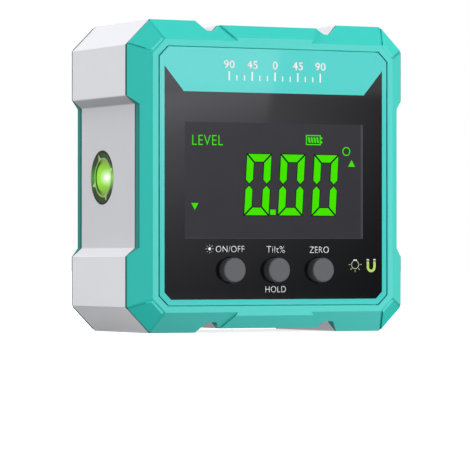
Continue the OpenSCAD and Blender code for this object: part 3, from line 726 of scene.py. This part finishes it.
def laser_place(flow, shift=0.0):
    """How far a point lies behind and above the laser axis, and its distance from it."""
    _, y, z = flow.axes()
    back, up = y - (LASER_Y + shift), z - LASER_Z
    return back, up, flow.sum("SQRT", back * back + up * up)


def lit_lens(flow):
    back, up, _ = laser_place(flow, SPOT_SHIFT)
    spot = flow.sum("SQRT", back * back + up * up * SPOT_SQUASH)
    heart = flow.add("ValToRGB", {0: spot / LENS_HALF}, {"stops": HEART_STOPS})
    band = flow.add("ValToRGB", {0: abs(up) / LENS_HALF}, {"stops": BAND_STOPS})
    green = flow.tints(band, tint("80a348"), tint("96e444"))
    # Painted shade on the lens rim at the rear.
    rear, _, reach = laser_place(flow)
    shade = flow.add("MapRange", {0: reach / LENS_HALF, 1: SHADE_START, 2: SHADE_FULL})
    shade = shade & flow.add("MapRange", {0: rear / LENS_HALF, 1: 0.0, 2: SHADE_REAR})
    green = flow.tints(shade * SHADE_LEVEL, green, tint("1a4a08"))
    return {"Emission Color": flow.tints(heart, green, SPOT_TINT)}


def ribbed_bezel(flow):
    back, up, reach = laser_place(flow)
    inner, outer = LENS_HALF + LIP_WIDTH, BEZEL_HALF - RIM_WIDTH
    # The lip and ribs are painted pale green, as a painted highlight of the lens's light.
    lit_lip_and_ribs = (reach < inner) * LIP_LIGHT
    for angle in RIB_ANGLES:
        turn = math.radians(angle)
        along = back * math.cos(turn) + up * math.sin(turn)
        across = abs(up * math.cos(turn) - back * math.sin(turn))
        lit_lip_and_ribs = lit_lip_and_ribs | ((along > 0.0) & (across < (outer - along) * (RIB_WIDTH / 2 / (outer - LENS_HALF))))
    # The dish is painted dark green as the lens's light; the outer rim stays near black.
    dish = flow.tints(reach > outer, tint("2e4419"), tint("161d10"))
    # Painted glow of the lens's light on the bezel, stronger at the front.
    spill = flow.add("ValToRGB", {0: abs(up) / LENS_HALF}, {"stops": SPILL_STOPS})
    near = flow.add("MapRange", {0: back / BEZEL_HALF, 1: NEAR_START, 2: NEAR_FULL})
    green = flow.tints(near, tint("3f8a20"), tint("86cc58"))
    grain = flow.noise(0.08)
    return {
        "Base Color": flow.tints(lit_lip_and_ribs, dish, tint("a9c48a")),
        "Roughness": grain * 0.1 + 0.4,
        "Normal": flow.bump(grain, 0.003),
        "Emission Color": flow.tints(spill, BLACK, green),
    }


finishes["bezel_black"] = surface(
    "black anodised bezel", {"Specular IOR Level": 0.05, "Emission Strength": 1.0}, ribbed_bezel
)
finishes["lcd_glass"] = surface("display glass", {"IOR": GLASS_IOR, "Emission Strength": 1.0}, display_glass)
finishes["laser_lens"] = surface(
    "lit lens",
    {"Base Color": tint("16220e"), "Roughness": 0.15, "Specular IOR Level": 0.0, "Emission Strength": 1.0},
    lit_lens,
)
print("finishes:", len(finishes))

# %% [markdown]
# Every node of the frame takes the finish of its slot in the record. Pieces that are remodelled below take
# the same finish, so nothing is left in its plain working colour.

# %% Paint the frame
slot_of = {row["node"]: row["material_slot"] for row in frame["record"]["subparts"]}
for node, slot_name in slot_of.items():
    mesh = frame["nodes"][node].data
    mesh.materials.clear()
    mesh.materials.append(finishes[slot_name])
print("painted", len(slot_of), "nodes")

# %% [markdown]
# ## Softened edges
# No cast, machined or moulded edge is perfectly sharp. A line of light along each edge is what makes a solid
# look real. The frame's own meshes can't be changed, so each shell is copied, its loose triangles are merged
# and flattened into clean faces, and a narrow bevel rounds every edge that turns by more than a few degrees.

# %% Round the edges of the shells
WELD_GAP = 0.001
FLAT_TURN = math.radians(0.3)
EDGE_TURN = math.radians(12)
SMOOTH_TURN = math.radians(40)


def select_only(piece):
    """Makes one object the whole selection."""
    bpy.ops.object.select_all(action="DESELECT")
    piece.select_set(True)
    bpy.context.view_layer.objects.active = piece


def softened(node, name, width, steps=2):
    """A copy of a node with rounded edges, which stands for the node."""
    piece = bpy.data.objects.new(name, frame["nodes"][node].data.copy())
    bpy.context.collection.objects.link(piece)
    select_only(piece)
    bpy.ops.object.mode_set(mode="EDIT")
    bpy.ops.mesh.select_all(action="SELECT")
    bpy.ops.mesh.remove_doubles(threshold=WELD_GAP * MM)
    bpy.ops.mesh.dissolve_limited(angle_limit=FLAT_TURN)
    bpy.ops.object.mode_set(mode="OBJECT")
    bpy.ops.mesh.customdata_custom_splitnormals_clear()
    bpy.ops.object.modifier_add(type="BEVEL")
    bevel = piece.modifiers[-1]
    bevel.width = width * MM
    bevel.segments = steps
    bevel.limit_method = "ANGLE"
    bevel.angle_limit = EDGE_TURN
    bevel.use_clamp_overlap = True
    bpy.ops.object.modifier_apply(modifier=bevel.name)
    bpy.ops.object.shade_smooth_by_angle(angle=SMOOTH_TURN)
    bpy.ops.object.modifier_add(type="WEIGHTED_NORMAL")
    flats = piece.modifiers[-1]
    flats.weight = 100
    flats.keep_sharp = True
    bpy.ops.object.modifier_apply(modifier=flats.name)
    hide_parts(node)
    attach(piece, body_of[node])
    print(name, len(piece.data.polygons), "faces")


body_of = {node: body for body, nodes in frame["record"]["behaviour"]["bodies"].items() for node in nodes}
softened("body_ring", "ring_shell", 0.13)
softened("front_cover", "front_shell", 0.14)
softened("rear_cover", "rear_shell", 0.14)
softened("front_panel", "panel_plate", 0.10)
for key in ("power", "tilt", "zero"):
    softened(key + "_button", key + "_keycap", 0.18, steps=3)
for hand in ("left", "right"):
    softened(hand + "_laser_bezel", hand + "_bezel_ring", 0.08)

# %% [markdown]
# ## Lit segments
# The reading is three slanted zeros of a seven-segment display. One zero could be six separate outlines, but
# it is quicker as a sheet-metal exercise: a plate, inset to a mitred frame, the open middle deleted, each
# upright cut crosswise so that its halves end in points, and every piece inset again to open the thin gaps.
# The same zeros with hardly any gap make a dark field behind the lit ones, which shows in their gaps.

# %% Helpers for flat signs
SIGN_THICK = 0.03
FACING = math.pi / 2


def edit(piece):
    """Opens a piece in edit mode with everything selected."""
    if bpy.context.mode != "OBJECT":
        close_edit()
    select_only(piece)
    bpy.ops.object.mode_set(mode="EDIT")
    bpy.ops.mesh.select_mode(type="FACE")
    bpy.ops.mesh.select_all(action="SELECT")


def close_edit():
    bpy.ops.object.mode_set(mode="OBJECT")


def pick_faces(piece, wanted):
    """Selects the faces whose middle, in the piece's own axes, passes the test, and nothing else."""
    close_edit()
    for face in piece.data.polygons:
        face.select = wanted(face.center)
    bpy.ops.object.mode_set(mode="EDIT")


def on_front(x, z, plane):
    """A place on a plane that faces the front, from millimetres beside and above the middle."""
    return Vector((MIDDLE.x + x * MM, plane, MIDDLE.z + z * MM))


def flat_disc(radius, x, z, plane, sides=32, turn=0.0):
    """A flat polygon that faces the front."""
    bpy.ops.object.select_all(action="DESELECT")
    bpy.ops.mesh.primitive_circle_add(
        vertices=sides, radius=radius * MM, fill_type="NGON",
        location=on_front(x, z, plane), rotation=(FACING, turn, 0),
    )
    return bpy.context.object


def flat_bar(width, tall, x, z, plane, turn=0.0):
    """A flat upright rectangle that faces the front, turned clockwise by an angle."""
    bpy.ops.object.select_all(action="DESELECT")
    bpy.ops.mesh.primitive_plane_add(
        size=MM, location=on_front(x, z, plane), rotation=(FACING, turn, 0)
    )
    bar = bpy.context.object
    bar.scale = (width, tall, 1)
    bpy.ops.object.transform_apply(location=False, rotation=False, scale=True)
    return bar


def hollow(piece, wall):
    """Turns a flat piece into a frame of one wall width."""
    edit(piece)
    bpy.ops.mesh.inset(thickness=wall * MM)
    bpy.ops.mesh.delete(type="FACE")
    close_edit()
    return piece


def sign(name, parts, ink):
    """Joins flat parts into one thin piece with its place in its mesh, carried by the case."""
    bpy.ops.object.select_all(action="DESELECT")
    for part in parts:
        part.select_set(True)
    piece = parts[0]
    bpy.context.view_layer.objects.active = piece
    bpy.ops.object.join()
    bpy.ops.object.transform_apply(location=True, rotation=True, scale=True)
    bpy.ops.object.modifier_add(type="SOLIDIFY")
    piece.modifiers[-1].thickness = SIGN_THICK * MM
    piece.modifiers[-1].offset = -1
    bpy.ops.object.modifier_apply(modifier=piece.modifiers[-1].name)
    piece.name = name
    piece.data.materials.clear()
    piece.data.materials.append(ink)
    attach(piece, "case")


print("flat signs are", SIGN_THICK, "mm thick")

# %% Inks and light


def lit(flow):
    shimmer = flow.noise(0.5)
    return {"Emission Color": flow.tints(shimmer, tint("3fdc00"), tint("4aec00"))}


def ink_of(name, colour):
    return grained(name, tint(colour), 0.45, 0.15, 0.002)


segment_light = surface(
    "lit segment", {"Base Color": BLACK, "Specular IOR Level": 0.0, "Emission Strength": 1.0}, lit
)
field_ink = grained("dark field", tint("0f1a0b"), 0.5, 0.15, 0.001, specular=0.05)
white_ink = ink_of("white ink", "f2f3f4")
green_ink = ink_of("pale green ink", "b2d252")
lamp_ink = ink_of("grey green ink", "c3cda0")
print("inks:", ", ".join(ink.name for ink in (segment_light, field_ink, white_ink, green_ink, lamp_ink)))

# %% One zero of the reading
FIELD_Y = GLASS_Y - 0.04 * MM
SEGMENT_Y = GLASS_Y - 0.08 * MM
ZERO_WIDTH = 5.56
ZERO_TALL = 12.14
ZERO_WALL = 1.79
ZERO_GAP = 0.34
FIELD_GAP = 0.02
ZERO_LEAN = 0.056
ZERO_MIDDLE = -1.47
ZERO_PLACES = (-3.18, 4.16, 11.53)
POINT_WIDTH = 1.18
POINT_TALL = 0.98
POINT_X = 0.08
POINT_Z = -6.78


def zero_segments(x, plane, gap):
    """The six segments of a zero, x millimetres beside the middle, each drawn in by half a gap."""
    zero = hollow(flat_bar(ZERO_WIDTH, ZERO_TALL, 0, 0, 0), ZERO_WALL)
    for hand in (-1, 1):
        upright = hand * (ZERO_WIDTH - ZERO_WALL) / 2 * MM
        for lean in (-1, 1):
            edit(zero)
            pick_faces(zero, lambda place: place.x * hand > 0.4 * ZERO_WALL * MM)
            bpy.ops.mesh.bisect(
                plane_co=on_front(upright / MM, 0, 0), plane_no=Vector((1, 0, lean)).normalized()
            )
        edit(zero)
        pick_faces(zero, lambda place: place.x * hand > 0 and abs(place.y) < abs(place.x - upright))
        bpy.ops.mesh.delete(type="FACE")
        close_edit()
    edit(zero)
    bpy.ops.mesh.inset(thickness=gap / 2 * MM, use_individual=True)
    bpy.ops.mesh.select_all(action="INVERT")
    bpy.ops.mesh.delete(type="FACE")
    close_edit()
    zero.data.transform(Matrix.Shear("XZ", 4, (ZERO_LEAN, 0)))
    zero.location = on_front(x, ZERO_MIDDLE, plane)
    return zero


fields = [zero_segments(x, FIELD_Y, FIELD_GAP) for x in ZERO_PLACES]
sign("reading_field", fields, field_ink)
reading = [zero_segments(x, SEGMENT_Y, ZERO_GAP) for x in ZERO_PLACES]
reading.append(flat_bar(POINT_WIDTH, POINT_TALL, POINT_X, POINT_Z, SEGMENT_Y))
sign("reading", reading, segment_light)
print("the reading has", len(ZERO_PLACES), "zeros")

# %% [markdown]
# ## Small signs of the display
# Around the reading are a degree ring, two direction triangles, a battery sign and one word. They could be
# letters of a symbol typeface, but each is only a few flat shapes. The triangle is a circle with three
# corners, and the charge bars are sheared rectangles.

# %% Degree ring, triangles and battery sign
TRIANGLE_RADIUS = 0.86
DEGREE_RADIUS = 0.87
DEGREE_WALL = 0.19
BATTERY_WALL = 0.2
CHARGE_BARS = 4
CHARGE_START = 0.70
CHARGE_PITCH = 0.62
CHARGE_WIDTH = 0.4
CHARGE_TALL = 0.54
CHARGE_LEAN = -0.25
POLE_LONG = 0.34
POLE_SHARE = 0.2


def battery_sign(left, right, bottom, top):
    """A battery outline with leaning charge bars and a terminal of two short bars."""
    wide, tall = right - left, top - bottom
    middle = (bottom + top) / 2
    parts = [hollow(flat_bar(wide, tall, (left + right) / 2, middle, SEGMENT_Y), BATTERY_WALL)]
    for i in range(CHARGE_BARS):
        place = left + CHARGE_START + i * CHARGE_PITCH
        bar = flat_bar(CHARGE_WIDTH, tall * CHARGE_TALL, place, middle, SEGMENT_Y)
        bar.data.transform(Matrix.Shear("XZ", 4, (CHARGE_LEAN, 0)))
        parts.append(bar)
    for hand in (-1, 1):
        place = middle + hand * tall * POLE_SHARE
        parts.append(flat_bar(POLE_LONG, tall * POLE_SHARE, right + POLE_LONG / 2, place, SEGMENT_Y))
    return parts


symbols = [
    hollow(flat_disc(DEGREE_RADIUS, x=16.24, z=5.20, plane=SEGMENT_Y), DEGREE_WALL),
    flat_disc(TRIANGLE_RADIUS, x=17.41, z=2.66, plane=SEGMENT_Y, sides=3),
    flat_disc(TRIANGLE_RADIUS, x=-16.73, z=-5.55, plane=SEGMENT_Y, sides=3, turn=math.pi),
    *battery_sign(left=7.33, right=10.56, bottom=6.34, top=8.29),
]
sign("display_symbols", symbols, segment_light)
print("display symbols:", len(symbols), "flat shapes")

# %% [markdown]
# Words are set as text, made a mesh, and stretched to the box that they fill on the real gauge. Letters could
# be traced instead, which is longer to write. The panel and the display glass give the two planes. Only the
# plain words of the controls and the display are set.

# %% Set the words
LETTER_WEIGHT = -0.012
LETTER_SPACING = 1.06


def words(text, left, right, bottom, top, plane, weight=LETTER_WEIGHT):
    """A line of plain lettering, as a flat mesh that fills a box on a plane that faces the front."""
    bpy.ops.object.select_all(action="DESELECT")
    bpy.ops.object.text_add()
    line = bpy.context.object
    line.data.body = text
    line.data.offset = weight
    line.data.space_character = LETTER_SPACING
    bpy.ops.object.convert(target="MESH")
    line = bpy.context.object
    corners = [Vector(corner) for corner in line.bound_box]
    low = Vector((min(c.x for c in corners), min(c.y for c in corners)))
    high = Vector((max(c.x for c in corners), max(c.y for c in corners)))
    across = (right - left) * MM / (high.x - low.x)
    upward = (top - bottom) * MM / (high.y - low.y)
    line.scale = (across, upward, 1)
    line.rotation_euler = (FACING, 0, 0)
    line.location = on_front(left, bottom, plane) - Vector((low.x * across, 0, low.y * upward))
    bpy.ops.object.transform_apply(location=True, rotation=True, scale=True)
    return line


PRINT_GAP = 0.005
LEGEND_Y = PRINT_Y - (SIGN_THICK + PRINT_GAP) * MM
level_word = words("LEVEL", left=-17.27, right=-10.72, bottom=6.0, top=7.93, plane=SEGMENT_Y)
sign("level_word", [level_word], segment_light)
legends = [
    words("ON/OFF", left=-12.77, right=-6.66, bottom=-14.53, top=-13.31, plane=LEGEND_Y),
    words("Tilt%", left=-1.87, right=2.10, bottom=-14.64, top=-13.32, plane=LEGEND_Y),
    words("ZERO", left=7.52, right=11.77, bottom=-14.66, top=-13.42, plane=LEGEND_Y),
    words("HOLD", left=-2.08, right=2.33, bottom=-22.27, top=-21.07, plane=LEGEND_Y),
]
sign("key_legends", legends, white_ink)
print("words set on two planes")

# %% [markdown]
# ## Printed signs
# The panel carries three small pictures: a sun by the power key, a lamp and a magnet. The sun and the lamp
# are a disc or a ring with a fan of short rays, and the magnet is half a ring with two legs. Its tips and the
# lamp's cap are printed white, and the lamp's ink is a greyer green than the magnet's. A traced outline would
# do for each, but bars and rings keep their strokes even.

# %% Sun, lamp and magnet
TIP_TALL = 0.22
CAP_WIDTH = 0.74
CAP_RISE = 0.88


def rays(count, first, last, near, far, width, x, z):
    """Short bars that fan out from a centre, between two angles clockwise from straight up."""
    fan = []
    reach = (near + far) / 2
    for i in range(count):
        turn = math.radians(first + (last - first) * i / (count - 1))
        beside, above = math.sin(turn) * reach, math.cos(turn) * reach
        fan.append(flat_bar(width, far - near, x + beside, z + above, LEGEND_Y, turn))
    return fan


def magnet_sign(x, top, bottom, outer, inner):
    """A magnet: half a ring, two legs and two separate tips."""
    bow_z = bottom + outer
    bow = hollow(flat_disc(outer, x, bow_z, LEGEND_Y), outer - inner)
    edit(bow)
    bpy.ops.mesh.bisect(plane_co=on_front(x, bow_z, LEGEND_Y), plane_no=(0, 0, 1), clear_outer=True)
    close_edit()
    legs, tips = [bow], []
    wall, reach = outer - inner, (outer + inner) / 2
    leg_top = top - 2 * TIP_TALL
    for hand in (-1, 1):
        legs.append(flat_bar(wall, leg_top - bow_z, x + hand * reach, (leg_top + bow_z) / 2, LEGEND_Y))
        tips.append(flat_bar(wall, TIP_TALL, x + hand * reach, top - TIP_TALL / 2, LEGEND_Y))
    return legs, tips


SUN_X, SUN_Z = -14.08, -13.89
sun = [
    flat_disc(0.29, SUN_X, SUN_Z, LEGEND_Y),
    *rays(count=8, first=0, last=315, near=0.57, far=0.90, width=0.036, x=SUN_X, z=SUN_Z),
]
sign("sun_sign", sun, white_ink)
LAMP_X, LAMP_Z = 17.62, -16.93
lamp_parts = [
    hollow(flat_disc(0.84, LAMP_X, LAMP_Z, LEGEND_Y), 0.10),
    *rays(count=5, first=90, last=270, near=1.02, far=1.46, width=0.09, x=LAMP_X, z=LAMP_Z),
]
sign("lamp_sign", lamp_parts, lamp_ink)
magnet_legs, magnet_tips = magnet_sign(x=21.2, top=-15.87, bottom=-18.41, outer=1.0, inner=0.48)
sign("magnet_sign", magnet_legs, green_ink)
lamp_cap = flat_bar(CAP_WIDTH, TIP_TALL, LAMP_X, LAMP_Z + CAP_RISE, LEGEND_Y)
sign("sign_tips", [*magnet_tips, lamp_cap], white_ink)
print("three printed pictures")

# %% [markdown]
# The head of the panel carries a plain angle scale, as on a dial: a row of ticks from 90 through 0 to 90,
# with numbers at the long ticks. The ticks could be an array of one bar, but a loop over the angles also sets
# the numbers where they belong.

# %% Angle scale of the head
SCALE_REACH = 9.9
SCALE_FOOT = 18.5
NUMBER_FOOT = 20.75
NUMBER_TOP = 22.35
NUMBER_WEIGHT = 0.02
ONE_DIGIT_HALF = 0.55
TWO_DIGITS_HALF = 1.15
LONG_TICK = 1.7
LONG_WIDTH = 0.3
SHORT_TICK = 1.0
SHORT_WIDTH = 0.22

scale_parts = []
for angle in range(-90, 91, 15):
    place = angle / 90 * SCALE_REACH
    numbered = angle % 45 == 0
    tall, wide = (LONG_TICK, LONG_WIDTH) if numbered else (SHORT_TICK, SHORT_WIDTH)
    scale_parts.append(flat_bar(wide, tall, place, SCALE_FOOT + tall / 2, LEGEND_Y))
    if numbered:
        half = ONE_DIGIT_HALF if angle == 0 else TWO_DIGITS_HALF
        left, right = place - half, place + half
        number = words(str(abs(angle)), left, right, NUMBER_FOOT, NUMBER_TOP, LEGEND_Y, NUMBER_WEIGHT)
        scale_parts.append(number)
sign("angle_scale", scale_parts, white_ink)
print("scale with", len(scale_parts), "marks")
